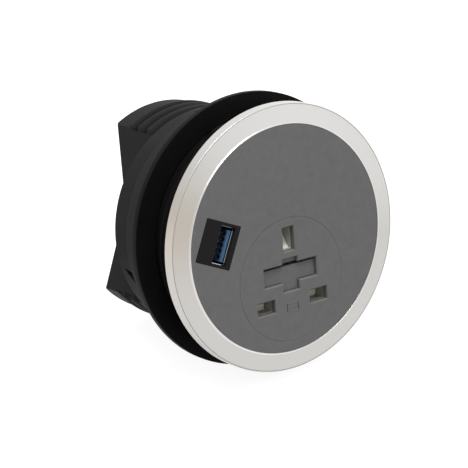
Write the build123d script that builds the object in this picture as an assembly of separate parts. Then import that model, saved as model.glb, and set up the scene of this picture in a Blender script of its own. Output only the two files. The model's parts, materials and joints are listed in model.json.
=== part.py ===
from build123d import *
import math
import os

# Sizes are in millimetres. The origin is the centre of the bezel's underside, so the desk's top is z = 0.
# Z points out of the desk, X to the right and Y towards the earth slot, as seen from the front.
# The barrel's radius drives the other large radii, and the plug's pin spacing places the slots.

# Barrel: black top frame, then the drum
barrel_radius = 39.4
frame_wall = 1.8
frame_flange_bottom = 0.3
frame_flange_gap = 0.2
frame_support_gap = 0.2
frame_bottom = -16.0
drum_wall = 3.2
drum_bottom = -40.5
drum_floor = 2.2
lap_height = 4.0
lap_gap = 0.15

# Bezel ring that lies on the desk
bezel_overhang = 7.0
bezel_band = 6.9
bezel_height = 5.0
bezel_wall = 1.2
bezel_top_thickness = 1.5
bezel_bevel_width = 0.5
bezel_bevel_height = 0.9
lip_width = 0.45
lip_rise = 0.4
lip_thickness = 1.05
lip_overlap = 1.85

# Face plate under the bezel's lip
plate_gap = 0.3
plate_proud = 0.3
plate_thickness = 2.5
plate_flange_overlap = 1.7
plate_flange_thickness = 1.8
plate_flange_bottom = 2.0
seat_gap = 0.1

# Rear block, a cylinder cut back by four flat facets, symmetric about X = 0
block_step = 0.2
block_bottom = -66.3
block_wall = 2.2
block_rear_chamfer = 0.8
facet_cut = 20.5
facet_corner_cut = 20.8
facet_corner_y = 3.6
facet_low_cut = 9.0
facet_low_y = -25.7
rear_band_depth = 0.9
rear_band_height = 8.6
notch_first_z = -40.9
notch_pitch = 5.7
notch_width = 4.1
notch_depth = 1.4
notch_flat = 0.7
notch_steep = 0.9
notch_count = 3

# Wedge pockets in the drum, drawn on the unrolled surface as degrees and height
pocket_depth = 1.4
pocket_mirror_angle = 145.3
pocket_outline = [(194.4, -38.4), (203.2, -34.2), (199.7, -33.2), (196.2, -32.5)]

# Clamp ring and lock nut
clamp_ring_width = 7.9
clamp_ring_front = -15.0
clamp_ring_thickness = 2.5
clamp_bore_gap = 0.5
nut_gap = 0.3
nut_shoulder_width = 4.6
nut_shoulder_height = 2.5
nut_collar_width = 1.8
nut_bottom = -30.0
nut_scallop_count = 12
nut_scallop_radius = 3.0
nut_scallop_depth = 1.0

# Screws that join the drum to the top frame
boss_from_wall = 3.7
boss_angles = [45.0, 135.0, 202.0, 338.0]
boss_radius = 3.4
pillar_wall_grip = 0.3
screw_radius = 1.5
screw_hole_gap = 0.1
screw_head_radius = 2.7
screw_head_height = 2.0
screw_head_depth = 2.4
screw_top_z = -4.0
pillar_gap = 0.3

# Round socket moulding behind the face plate
socket_x = 0.8
insert_radius = 21.6
insert_from_rim = 3.3
insert_gap = 0.2
insert_disc = 1.6
insert_neck_wall = 1.2
cup_outset = 2.6
cup_wall = 1.8
cup_roof = 1.6
cup_bottom = -20.0
cup_clearance = 0.3
ear_angles = [25.0, 95.0, 195.0]
ear_head_gap = 0.3
ear_radius = 2.8
ear_screw_radius = 0.9
ear_screw_depth = 1.6
ear_screw_head_radius = 1.8
ear_screw_head_height = 1.2

# Pin slots, spaced as the pins of a British three-pin plug
pin_spacing = 22.2
slot_below_centre = 8.1
slot_width = 7.4
slot_height = 4.6
earth_width = 4.8
earth_height = 8.4
slot_chamfer = 0.3
guide_wall = 1.0
guide_gap = 0.25

# Fuse drawer in the socket moulding
drawer_width = 22.3
drawer_height = 6.6
drawer_above_slots = 7.0
drawer_sink = 1.45
drawer_cap = 1.0
drawer_gap = 0.15
drawer_pry_gap = 1.0
tab_width = 6.9
tab_length = 3.15
notch_opening_width = 6.4
notch_opening_length = 1.9
notch_opening_depth = 4.3
well_wall = 1.1
well_floor_top_z = -2.4
well_floor = 0.9
tab_ledge_depth = 1.25

# Fuse, 5 x 20 mm, and its clips
fuse_radius = 2.6
fuse_length = 20.0
fuse_cap_length = 4.8
fuse_cap_wall = 0.15
fuse_glass_wall = 0.5
fuse_gap = 0.05
fuse_from_drawer_edge = 3.2
clip_x = 7.6
clip_width = 3.0
clip_sheet = 0.35
clip_height = 4.0
cradle_width = 9.0
cradle_low_z = 0.9
cheek_low_z = -1.6

# Sloping leaf under the earth slot
leaf_hinge_drop = 5.1
leaf_hinge_z = 1.5
leaf_length = 8.6
leaf_thickness = 1.2
leaf_width = 5.8
leaf_angle = 35.0
leaf_knuckle = 0.8
leaf_pin_radius = 0.6
leaf_pin_gap = 0.05
leaf_side_gap = 0.25
leaf_lug_width = 1.2
leaf_lug_radius = 1.2

# Shutter that slides under the slots
shutter_thickness = 1.4
shutter_under_well = 0.3
shutter_over_base = 0.2
shutter_side_gap = 0.3
shutter_overrun = 0.65
shutter_edge_drop = 0.55
shutter_pad_rise = 1.9
shutter_pad_cover = 0.2
window_clearance = 0.3
spring_post_radius = 0.9
spring_post_length = 2.0
spring_bar_width = 6.0
spring_bar_depth = 1.6
spring_radius = 1.35
spring_wire = 0.4
spring_turns = 7
spring_end_gap = 0.1

# Contacts and the base that holds them
base_fit_gap = 0.1
base_flange = 2.0
pocket_bottom = -19.0
pocket_half_width = 4.0
pocket_half_height = 3.3
contact_sheet = 0.5
contact_mouth = 5.2
contact_throat = 3.9
contact_throat_depth = 2.5
contact_waist_depth = 9.0
contact_height = 11.4
contact_top_gap = 0.5
contact_width = 6.0
earth_contact_top_z = -7.0
earth_contact_width = 7.0
tail_width = 3.0
tail_sheet = 0.6
tail_end = -25.0
tail_slit_gap = 0.2

# Internal leads, each from a contact tail to an inlet pin
lead_radius = 1.3
lead_drop = 5.5
lead_rise = 5.5
lead_bend_share = 0.45

# Mains inlet in the rear face
inlet_from_rim = 19.2
inlet_width = 22.0
inlet_height = 15.0
inlet_wall = 1.2
inlet_front = -46.0
inlet_floor = -51.3
inlet_flange = 2.0
inlet_flange_thickness = 1.8
inlet_corner = 2.0
inlet_gap = 0.1
inlet_pin_pitch = 6.0
inlet_pin_width = 1.5
inlet_pin_height = 4.5
inlet_pin_tip = -62.0
inlet_tail_top_z = -44.0

# USB coupler, in the room between the socket moulding and the plate's rim, turned about its own centre
usb_bearing_angle = 147.233
usb_room_share = 0.5265
usb_turn = -24.0
usb_flange_width = 14.5
usb_flange_step = 0.55
usb_flange_thickness = 1.4
usb_flange_gap = 0.1
usb_port_offset = 2.3
usb_body_side_wall = 1.04
usb_body_end_wall = 0.45
usb_rear_proud = 1.0
usb_shell_width = 5.72
usb_shell_height = 13.1
usb_shell_wall = 0.3
usb_shell_length = 17.0
usb_shell_sink = 0.2
usb_shell_gap = 0.05
usb_tongue_inner = 0.2
usb_tongue_thickness = 1.85
usb_tongue_height = 11.1
usb_tongue_sink = 0.9
usb_root_length = 4.0
usb_recess_pitch = 2.0
usb_recess_count = 5
usb_recess_width = 1.1
usb_recess_length = 1.7
usb_recess_depth = 0.6
usb_recess_from_tip = 0.7
usb_contact_places = [-3.5, -1.0, 1.0, 3.5]
usb_contact_width = 1.0
usb_contact_sheet = 0.15
usb_contact_from_tip = 3.4
usb_board_width = 10.8
usb_board_thickness = 1.0
usb_board_gap = 0.3

# Cutters reach this far past the surface that they open
cutter_margin = 1.0
chamfer_slope = 45.0

# Radii that follow from the sizes above
bezel_radius = barrel_radius + bezel_overhang
lip_radius = bezel_radius - bezel_band
plate_flange_radius = lip_radius + plate_flange_overlap
block_radius = barrel_radius - block_step
facet_x = block_radius - facet_cut
facet_corner_x = block_radius - facet_corner_cut
facet_low_x = block_radius - facet_low_cut

# Heights and further radii that follow
plate_front = bezel_height + plate_proud
plate_back = plate_front - plate_thickness
plate_radius = lip_radius - plate_gap
plate_flange_top = plate_flange_bottom + plate_flange_thickness
lip_underside = bezel_height - lip_thickness
bezel_inner_top = bezel_height - bezel_top_thickness
bezel_inner_radius = bezel_radius - bezel_wall
frame_inner_radius = barrel_radius - frame_wall
drum_inner_radius = barrel_radius - drum_wall
lap_radius = frame_inner_radius - lap_gap
lap_top = frame_bottom + lap_height
boss_circle = frame_inner_radius - boss_from_wall
clamp_bore = barrel_radius + clamp_bore_gap
clamp_ring_radius = clamp_bore + clamp_ring_width
nut_shoulder_radius = clamp_bore + nut_shoulder_width
nut_collar_radius = clamp_bore + nut_collar_width
clamp_ring_back = clamp_ring_front - clamp_ring_thickness
nut_top = clamp_ring_back - nut_gap
cup_radius = insert_radius + cup_outset
cup_limit = drum_inner_radius - cup_clearance
cup_roof_bottom = plate_back - cup_roof
ear_circle = cup_radius + ear_screw_head_radius + ear_head_gap
disc_back = plate_front - insert_disc
drawer_front = plate_front - drawer_sink
drawer_back = drawer_front - drawer_cap
fuse_z = well_floor_top_z + clip_sheet + fuse_gap + fuse_radius
well_bottom = well_floor_top_z - well_floor
shutter_top = well_bottom - shutter_under_well
shutter_bottom = shutter_top - shutter_thickness
pad_top = shutter_top + shutter_pad_rise
guide_bottom = pad_top + guide_gap
base_top = shutter_bottom - shutter_over_base
base_bottom = cup_bottom - base_flange
contact_top = base_top - contact_top_gap
usb_bottom = drum_bottom - usb_rear_proud
usb_body_width = usb_shell_width + 2 * usb_body_side_wall
usb_body_height = usb_shell_height + 2 * usb_body_end_wall
usb_flange_height = usb_body_height + 2 * usb_flange_step

# Places across the face, as seen from the front
insert_y = insert_radius + insert_from_rim - plate_radius
slot_x = pin_spacing / 2
slot_y = insert_y - slot_below_centre
earth_y = slot_y + pin_spacing
drawer_low_y = slot_y + drawer_above_slots
drawer_high_y = drawer_low_y + drawer_height
fuse_y = drawer_low_y + fuse_from_drawer_edge
leaf_hinge_y = earth_y - leaf_hinge_drop
cup_wall_y = -(cup_limit - cup_wall)
shutter_travel = slot_height + shutter_pad_cover + shutter_overrun
shutter_edge_y = earth_y - shutter_edge_drop
shutter_low_y = slot_y - slot_height / 2 - shutter_pad_cover
pad_high_y = slot_y + slot_height / 2 + shutter_pad_cover
inlet_y = inlet_from_rim - block_radius


def polar(radius, angle):
    return radius * math.cos(math.radians(angle)), radius * math.sin(math.radians(angle))


def usb_place():
    """The coupler's centre: its share of the way from the socket moulding's edge to the plate's rim."""
    step_x, step_y = polar(1, usb_bearing_angle)
    along = socket_x * step_x + insert_y * step_y
    across = socket_x * step_y - insert_y * step_x
    to_rim = math.sqrt(plate_radius**2 - across**2) - along
    distance = insert_radius + usb_room_share * (to_rim - insert_radius)
    return socket_x + distance * step_x, insert_y + distance * step_y


at_socket = Pos(socket_x, 0, 0)
at_usb = Pos(*usb_place(), 0) * Rot(0, 0, usb_turn)
at_port = at_usb * Pos(usb_port_offset, 0, 0)


def disc(radius, bottom, top):
    return Pos(0, 0, bottom) * extrude(Circle(radius), top - bottom)


def tube(outer, inner, bottom, top):
    return Pos(0, 0, bottom) * extrude(Circle(outer) - Circle(inner), top - bottom)


def slab(width, height, bottom, top, x=0.0, y=0.0):
    return Pos(x, y, bottom) * extrude(Rectangle(width, height), top - bottom)


def span(width, low_y, high_y, bottom, top, x=0.0):
    return slab(width, high_y - low_y, bottom, top, x, (low_y + high_y) / 2)


def sheet(outline, bottom, top):
    return Pos(0, 0, bottom) * extrude(outline, top - bottom)


def side_profile(outline, width, x=0.0):
    """A sketch in the Y-Z plane, given width along X and centred on x."""
    return extrude(Plane.YZ.offset(x - width / 2) * outline, width)


def cup_outline(inset):
    """The socket cup in the socket's frame: its own circle, cut where the drum's wall is closer."""
    own_circle = Pos(0, insert_y) * Circle(cup_radius - inset)
    drum_circle = Pos(-socket_x, 0) * Circle(cup_limit - inset)
    return own_circle & drum_circle


def slot_cutter(width, height, x, y, bottom):
    """A pin slot with its chamfered rim."""
    shaft = slab(width, height, bottom, plate_front, x, y)
    rim = extrude(Rectangle(width, height), slot_chamfer, taper=-chamfer_slope)
    return shaft + Pos(x, y, plate_front - slot_chamfer) * rim


def bezel_ring():
    profile = Polyline(
        (bezel_radius, 0),
        (bezel_radius, bezel_height - bezel_bevel_height),
        (bezel_radius - bezel_bevel_width, bezel_height),
        (lip_radius + lip_width, bezel_height),
        (lip_radius + lip_width, bezel_height + lip_rise),
        (lip_radius, bezel_height + lip_rise),
        (lip_radius, lip_underside),
        (lip_radius + lip_overlap, lip_underside),
        (lip_radius + lip_overlap, bezel_inner_top),
        (bezel_inner_radius, bezel_inner_top),
        (bezel_inner_radius, 0),
        close=True,
    )
    return revolve(Plane.XZ * make_face(profile), Axis.Z)


def usb_window(gap, width, height, offset):
    return at_usb * Pos(offset, 0) * Rectangle(width + 2 * gap, height + 2 * gap)


def face_plate():
    plate = disc(plate_radius, plate_back, plate_front)
    plate += disc(plate_flange_radius, plate_flange_bottom, plate_flange_top)
    plate -= disc(frame_inner_radius, plate_flange_bottom, plate_back)
    hole = disc(insert_radius + insert_gap, plate_back, plate_front)
    plate -= Pos(socket_x, insert_y, 0) * hole
    ledge = plate_front - usb_flange_thickness
    flange_window = usb_window(usb_flange_gap, usb_flange_width, usb_flange_height, 0)
    plate -= sheet(flange_window, ledge, plate_front)
    body_window = usb_window(usb_flange_gap, usb_body_width, usb_body_height, usb_port_offset)
    plate -= sheet(body_window, plate_back, ledge)
    for angle in ear_angles:
        x, y = polar(ear_circle, angle)
        pilot = disc(ear_screw_radius + screw_hole_gap, plate_back, plate_back + ear_screw_depth)
        plate -= Pos(socket_x + x, insert_y + y, 0) * pilot
    return plate


def top_frame():
    flange_radius = bezel_inner_radius - frame_flange_gap
    frame = tube(flange_radius, frame_inner_radius, frame_flange_bottom, plate_flange_bottom)
    support_inner = plate_flange_radius + frame_support_gap
    support_top = bezel_inner_top - seat_gap
    frame += tube(flange_radius, support_inner, plate_flange_bottom, support_top)
    frame += tube(barrel_radius, frame_inner_radius, frame_bottom, frame_flange_bottom)
    pillar_bottom = lap_top + pillar_gap
    pillar_radius = frame_inner_radius - boss_circle + pillar_wall_grip
    for angle in boss_angles:
        place = Pos(*polar(boss_circle, angle), 0)
        frame += place * disc(pillar_radius, pillar_bottom, plate_flange_bottom)
        frame -= place * disc(screw_radius + screw_hole_gap, pillar_bottom, screw_top_z + pillar_gap)
    return frame


def block_outline(inset):
    """Plan of the rear block: a circle between two upper and two slanted lower facets."""
    reach = block_radius + cutter_margin
    slope_x = facet_low_x - facet_corner_x
    slope_y = facet_low_y - facet_corner_y
    share = (-reach - facet_corner_y) / slope_y
    low_x = facet_corner_x + share * slope_x
    side = inset * math.hypot(slope_x, slope_y) / abs(slope_y)
    right = [
        (facet_x - inset, reach),
        (facet_corner_x - inset, facet_corner_y),
        (low_x - side, -reach),
    ]
    left = [(-x, y) for x, y in reversed(right)]
    facets = make_face(Polyline(*right, *left, close=True))
    return Circle(block_radius - inset) & facets


def notch_ring(front_z):
    """One notch turned round the axis: steep on its front side and gentle behind."""
    outside = block_radius + cutter_margin
    root = block_radius - notch_depth
    steep_z = front_z - notch_steep
    back_z = front_z - notch_width
    profile = Polyline(
        (outside, front_z),
        (block_radius, front_z),
        (root, steep_z),
        (root, steep_z - notch_flat),
        (block_radius, back_z),
        (outside, back_z),
        close=True,
    )
    return revolve(Plane.XZ * make_face(profile), Axis.Z)


def wedge_pocket(corners):
    """A pocket cut in from the drum's surface; corners are (degrees, height) on that surface."""
    middle = sum(angle for angle, height in corners) / len(corners)
    surface = Plane(
        origin=polar(barrel_radius - pocket_depth, middle) + (0,),
        x_dir=polar(1, middle + 90) + (0,),
        z_dir=polar(1, middle) + (0,),
    )
    flat = [(math.radians(angle - middle) * barrel_radius, height) for angle, height in corners]
    return extrude(surface * make_face(Polyline(*flat, close=True)), 2 * pocket_depth)


def drum_housing():
    drum = disc(barrel_radius, drum_bottom, frame_bottom)
    drum += disc(lap_radius, frame_bottom, lap_top)
    block = sheet(block_outline(0), block_bottom, drum_bottom)
    rear_edges = block.edges().filter_by_position(Axis.Z, block_bottom, block_bottom)
    block = chamfer(rear_edges, block_rear_chamfer)
    band_top = block_bottom + rear_band_height
    outside = block_radius + cutter_margin
    block -= tube(outside, block_radius - rear_band_depth, block_bottom, band_top)
    for index in range(notch_count):
        front_z = notch_first_z - index * notch_pitch
        half = span(2 * outside, 0, outside, front_z - notch_width, front_z)
        block -= notch_ring(front_z) & half
        lower_z = front_z - notch_pitch / 2
        half = span(2 * outside, -outside, 0, lower_z - notch_width, lower_z)
        block -= notch_ring(lower_z) & half
    housing = drum + block
    housing -= disc(drum_inner_radius, drum_bottom + drum_floor, lap_top)
    cavity = block_outline(block_wall) & Circle(drum_inner_radius)
    housing -= sheet(cavity, block_bottom + block_wall, drum_bottom + drum_floor)

    boss_top = lap_top
    for angle in boss_angles:
        place = Pos(*polar(boss_circle, angle), 0)
        housing += place * disc(boss_radius, drum_bottom, boss_top)
        housing -= place * disc(screw_radius + screw_hole_gap, drum_bottom, boss_top)
        head_space = screw_head_radius + screw_hole_gap
        housing -= place * disc(head_space, drum_bottom, drum_bottom + screw_head_depth)

    mirrored = [(2 * pocket_mirror_angle - angle, height) for angle, height in pocket_outline]
    for corners in (pocket_outline, mirrored):
        pocket = wedge_pocket(corners)
        housing -= pocket
        housing -= Rot(0, 0, 180) * pocket

    window = usb_window(usb_flange_gap, usb_body_width, usb_body_height, usb_port_offset)
    housing -= sheet(window, drum_bottom, drum_bottom + drum_floor)
    inlet_hole = RectangleRounded(
        inlet_width + 2 * inlet_gap, inlet_height + 2 * inlet_gap, inlet_corner + inlet_gap
    )
    housing -= sheet(Pos(0, inlet_y) * inlet_hole, block_bottom, block_bottom + block_wall)
    return housing


def pressure_ring():
    return tube(clamp_ring_radius, clamp_bore, clamp_ring_back, clamp_ring_front)


def lock_nut():
    nut = tube(nut_collar_radius, clamp_bore, nut_bottom, nut_top)
    shoulder_bottom = nut_top - nut_shoulder_height
    shoulder = tube(nut_shoulder_radius, clamp_bore, shoulder_bottom, nut_top)
    scallop_centre = nut_shoulder_radius + nut_scallop_radius - nut_scallop_depth
    for index in range(nut_scallop_count):
        x, y = polar(scallop_centre, index * 360 / nut_scallop_count)
        shoulder -= Pos(x, y, 0) * disc(nut_scallop_radius, shoulder_bottom, nut_top)
    return nut + shoulder


def earth_guide():
    """Walls round the earth slot that end just above the leaf, along its slope."""
    low_y = earth_y - earth_height / 2 - guide_wall
    high_y = earth_y + earth_height / 2 + guide_wall
    slope = math.tan(math.radians(leaf_angle))
    rise = (leaf_thickness / 2 + guide_gap) / math.cos(math.radians(leaf_angle))
    low_end = leaf_hinge_z + rise - slope * (low_y - leaf_hinge_y)
    high_end = leaf_hinge_z + rise - slope * (high_y - leaf_hinge_y)
    outline = Polyline(
        (low_y, disc_back), (low_y, low_end), (high_y, high_end), (high_y, disc_back), close=True
    )
    return side_profile(make_face(outline), earth_width + 2 * guide_wall)


def socket_insert():
    insert = Pos(0, insert_y, 0) * disc(insert_radius, plate_back, plate_front)
    insert += sheet(cup_outline(0), cup_bottom, plate_back)
    for angle in ear_angles:
        x, y = polar(ear_circle, angle)
        insert += Pos(x, insert_y + y, 0) * disc(ear_radius, cup_roof_bottom, plate_back)
    insert -= sheet(cup_outline(cup_wall), cup_bottom, cup_roof_bottom)
    neck_radius = insert_radius - insert_neck_wall
    insert -= Pos(0, insert_y, 0) * disc(neck_radius, cup_roof_bottom, disc_back)

    insert += earth_guide()
    for side in (-1, 1):
        insert += slab(
            slot_width + 2 * guide_wall,
            slot_height + 2 * guide_wall,
            guide_bottom,
            disc_back,
            side * slot_x,
            slot_y,
        )
    well_width = drawer_width + 2 * well_wall
    insert += span(
        well_width, drawer_low_y - well_wall, drawer_high_y + well_wall, well_bottom, disc_back
    )
    ledge_bottom = drawer_back - seat_gap - tab_ledge_depth
    tab_low_y = drawer_low_y - tab_length
    insert += span(
        tab_width + 2 * well_wall, tab_low_y - well_wall, drawer_low_y, ledge_bottom, disc_back
    )
    lug_x = leaf_width / 2 + leaf_side_gap + leaf_lug_width / 2
    lug = Pos(leaf_hinge_y, leaf_hinge_z) * Circle(leaf_lug_radius)
    lug += Pos(leaf_hinge_y, (leaf_hinge_z + disc_back) / 2) * Rectangle(
        2 * leaf_lug_radius, disc_back - leaf_hinge_z
    )
    lug -= Pos(leaf_hinge_y, leaf_hinge_z) * Circle(leaf_pin_radius + leaf_pin_gap)
    for side in (-1, 1):
        insert += side_profile(lug, leaf_lug_width, side * lug_x)

    for side in (-1, 1):
        insert -= slot_cutter(slot_width, slot_height, side * slot_x, slot_y, guide_bottom)
    insert -= slot_cutter(earth_width, earth_height, 0, earth_y, base_top)
    insert -= span(drawer_width, drawer_low_y, drawer_high_y, well_floor_top_z, plate_front)
    insert -= span(tab_width, tab_low_y, drawer_low_y, drawer_back - seat_gap, plate_front)
    insert -= span(
        notch_opening_width,
        drawer_high_y,
        drawer_high_y + notch_opening_length,
        plate_front - notch_opening_depth,
        plate_front,
    )
    for angle in ear_angles:
        x, y = polar(ear_circle, angle)
        hole = disc(ear_screw_radius + screw_hole_gap, cup_roof_bottom, plate_back)
        insert -= Pos(x, insert_y + y, 0) * hole
    return at_socket * insert


def socket_base():
    base = sheet(cup_outline(cup_wall + base_fit_gap), cup_bottom, base_top)
    base += sheet(cup_outline(0), base_bottom, cup_bottom)
    slit_width = tail_width + 2 * tail_slit_gap
    slit_height = tail_sheet + 2 * tail_slit_gap
    for side in (-1, 1):
        x = side * slot_x
        base -= slab(2 * pocket_half_width, 2 * pocket_half_height, pocket_bottom, base_top, x, slot_y)
        base -= slab(slit_width, slit_height, base_bottom, pocket_bottom, x, slot_y)
    earth_low_y = leaf_hinge_y - leaf_thickness - window_clearance
    earth_high_y = earth_y + earth_height / 2 + guide_wall
    base -= span(2 * pocket_half_width, earth_low_y, earth_high_y, pocket_bottom, base_top)
    base -= slab(slit_height, slit_width, base_bottom, pocket_bottom, 0, earth_y)
    return at_socket * base


def contact_profile():
    """Centre line of a two-leaf contact, from its mouth at zero down to its bridge."""
    half_mouth = (contact_mouth + contact_sheet) / 2
    half_throat = (contact_throat + contact_sheet) / 2
    leaf = [
        (half_mouth, 0),
        (half_throat, -contact_throat_depth),
        (half_mouth, -contact_waist_depth),
        (half_mouth, contact_sheet / 2 - contact_height),
    ]
    other = [(-x, y) for x, y in reversed(leaf)]
    return trace(Polyline(*leaf, *other), line_width=contact_sheet)


def pin_contact(top, width):
    contact = side_profile(Pos(0, top) * contact_profile(), width)
    return contact + slab(tail_width, tail_sheet, tail_end, top - contact_height)


def live_contact():
    return at_socket * Pos(slot_x, slot_y, 0) * pin_contact(contact_top, contact_width)


def neutral_contact():
    return at_socket * Pos(-slot_x, slot_y, 0) * pin_contact(contact_top, contact_width)


def earth_contact():
    turned = Rot(0, 0, 90) * pin_contact(earth_contact_top_z, earth_contact_width)
    return at_socket * Pos(0, earth_y, 0) * turned


def fuse_clip(side):
    half_gap = fuse_radius + fuse_gap + clip_sheet / 2
    low = -fuse_radius - fuse_gap - clip_sheet / 2
    line = Polyline(
        (-half_gap, low + clip_height), (-half_gap, low), (half_gap, low), (half_gap, low + clip_height)
    )
    profile = Pos(fuse_y, fuse_z) * trace(line, line_width=clip_sheet)
    return at_socket * side_profile(profile, clip_width, side * clip_x)


def fuse_cylinder(radius, length, x=0.0):
    return side_profile(Pos(fuse_y, fuse_z) * Circle(radius), length, x)


def fuse_carrier():
    cap_width = drawer_width - 2 * drawer_gap
    cap_low_y = drawer_low_y + drawer_gap
    cap_high_y = drawer_high_y - drawer_pry_gap
    carrier = span(cap_width, cap_low_y, cap_high_y, drawer_back, drawer_front)
    tab_low_y = drawer_low_y - tab_length + drawer_gap
    carrier += span(tab_width - 2 * drawer_gap, tab_low_y, cap_low_y, drawer_back, drawer_front)
    carrier += span(cradle_width, cap_low_y, cap_high_y, cradle_low_z, drawer_back)
    inner_x = fuse_length / 2 + fuse_gap
    outer_x = cap_width / 2
    for side in (-1, 1):
        cheek_x = side * (inner_x + outer_x) / 2
        carrier += span(outer_x - inner_x, cap_low_y, cap_high_y, cheek_low_z, drawer_back, cheek_x)
    carrier -= fuse_cylinder(fuse_radius + fuse_gap, 2 * inner_x)
    return at_socket * carrier


def fuse_body():
    radius = fuse_radius - fuse_cap_wall - fuse_gap
    length = fuse_length - 2 * fuse_glass_wall
    return at_socket * (fuse_cylinder(radius, length) - fuse_cylinder(radius - fuse_glass_wall, length))


def fuse_caps():
    caps = []
    for side in (-1, 1):
        cap = fuse_cylinder(fuse_radius, fuse_cap_length, side * (fuse_length - fuse_cap_length) / 2)
        cap -= fuse_cylinder(fuse_radius - fuse_cap_wall, fuse_length - 2 * fuse_glass_wall)
        caps.append(at_socket * cap)
    return Compound(caps)


def earth_flap():
    leaf = Pos(leaf_length / 2, 0) * Rectangle(leaf_length, leaf_thickness)
    leaf += Circle(leaf_knuckle)
    leaf = Pos(leaf_hinge_y, leaf_hinge_z) * Rot(0, 0, -leaf_angle) * leaf
    flap = side_profile(leaf, leaf_width)
    pin = Pos(leaf_hinge_y, leaf_hinge_z) * Circle(leaf_pin_radius)
    pin_length = leaf_width + 2 * (leaf_side_gap + leaf_lug_width)
    return at_socket * (flap + side_profile(pin, pin_length))


def shutter():
    room = cup_outline(cup_wall + shutter_side_gap)
    outline = room & Pos(0, shutter_travel) * room
    wide = 2 * cup_radius
    middle_y = (shutter_low_y + shutter_edge_y) / 2
    outline &= Pos(0, middle_y) * Rectangle(wide, shutter_edge_y - shutter_low_y)
    window_width = slot_width + window_clearance
    window_high_y = slot_y + slot_height / 2 + shutter_travel + window_clearance
    window_middle_y = (pad_high_y + window_high_y) / 2
    for side in (-1, 1):
        window = Rectangle(window_width, window_high_y - pad_high_y)
        outline -= Pos(side * slot_x, window_middle_y) * window
    slider = sheet(outline, shutter_bottom, shutter_top)
    pad_width = slot_width + shutter_pad_cover
    pads = span(pad_width, shutter_low_y, pad_high_y, shutter_top, pad_top, slot_x)
    pads += span(pad_width, shutter_low_y, pad_high_y, shutter_top, pad_top, -slot_x)
    slider += pads & sheet(outline, shutter_top, pad_top)
    bar_high_y = shutter_low_y + spring_bar_depth
    slider += span(spring_bar_width, shutter_low_y, bar_high_y, shutter_top, pad_top)
    post_plane = Plane(origin=(0, shutter_low_y, spring_z()), z_dir=(0, -1, 0))
    slider += extrude(post_plane * Circle(spring_post_radius), spring_post_length)
    return at_socket * slider


def spring_z():
    return (shutter_bottom + pad_top) / 2


def shutter_spring():
    """Coil between the shutter's bar and the cup's wall."""
    length = shutter_low_y - cup_wall_y - 2 * spring_end_gap - spring_wire
    coil = Helix(pitch=length / spring_turns, height=length, radius=spring_radius)
    section = Plane(origin=coil @ 0, z_dir=coil % 0) * Circle(spring_wire / 2)
    wire = sweep(section, path=coil, is_frenet=True)
    start_y = shutter_low_y - spring_end_gap - spring_wire / 2
    place = Plane(origin=(0, start_y, spring_z()), z_dir=(0, -1, 0))
    return at_socket * place.location * wire


def usb_housing():
    ledge = plate_front - usb_flange_thickness
    housing = slab(usb_flange_width, usb_flange_height, ledge, plate_front)
    housing += slab(usb_body_width, usb_body_height, usb_bottom, ledge, usb_port_offset)
    bore_width = usb_shell_width + 2 * usb_shell_gap
    bore_height = usb_shell_height + 2 * usb_shell_gap
    front_bore = plate_front - usb_shell_sink - usb_shell_length
    rear_bore = usb_bottom + usb_shell_sink + usb_shell_length
    housing -= slab(bore_width, bore_height, front_bore, plate_front, usb_port_offset)
    housing -= slab(bore_width, bore_height, usb_bottom, rear_bore, usb_port_offset)
    board_space = usb_board_thickness + 2 * usb_board_gap
    board_high = usb_board_width + 2 * usb_board_gap
    housing -= slab(board_space, board_high, rear_bore, front_bore, usb_port_offset)
    return at_usb * housing


def port_shell():
    """A port's metal shell in the port's frame, its mouth at zero and facing up."""
    top = -usb_shell_sink
    shell = slab(usb_shell_width, usb_shell_height, top - usb_shell_length, top)
    inner_width = usb_shell_width - 2 * usb_shell_wall
    inner_height = usb_shell_height - 2 * usb_shell_wall
    return shell - slab(inner_width, inner_height, top - usb_shell_length, top)


def port_tongue():
    """A port's tongue and its root, with recesses along the contact side."""
    tip = -usb_tongue_sink
    end = -usb_shell_sink - usb_shell_length
    root_width = usb_shell_width - 2 * usb_shell_wall - 2 * usb_shell_gap
    root_height = usb_shell_height - 2 * usb_shell_wall - 2 * usb_shell_gap
    tongue = slab(root_width, root_height, end, end + usb_root_length)
    middle_x = usb_tongue_inner + usb_tongue_thickness / 2
    tongue += slab(usb_tongue_thickness, usb_tongue_height, end + usb_root_length, tip, middle_x)
    for index in range(usb_recess_count):
        y = (index - (usb_recess_count - 1) / 2) * usb_recess_pitch
        top = tip - usb_recess_from_tip
        recess_x = usb_tongue_inner + usb_recess_depth / 2
        tongue -= slab(usb_recess_depth, usb_recess_width, top - usb_recess_length, top, recess_x, y)
    return tongue


def port_contacts():
    tip = -usb_tongue_sink
    end = -usb_shell_sink - usb_shell_length + usb_root_length
    x = usb_tongue_inner - usb_contact_sheet / 2
    return [
        slab(usb_contact_sheet, usb_contact_width, end, tip - usb_contact_from_tip, x, y)
        for y in usb_contact_places
    ]


at_front_port = at_port * Pos(0, 0, plate_front)
at_rear_port = at_port * Pos(0, 0, usb_bottom) * Rot(180, 0, 0)


def usb_board():
    top = plate_front - usb_shell_sink - usb_shell_length
    bottom = usb_bottom + usb_shell_sink + usb_shell_length
    return at_port * slab(usb_board_thickness, usb_board_width, bottom, top)


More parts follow.
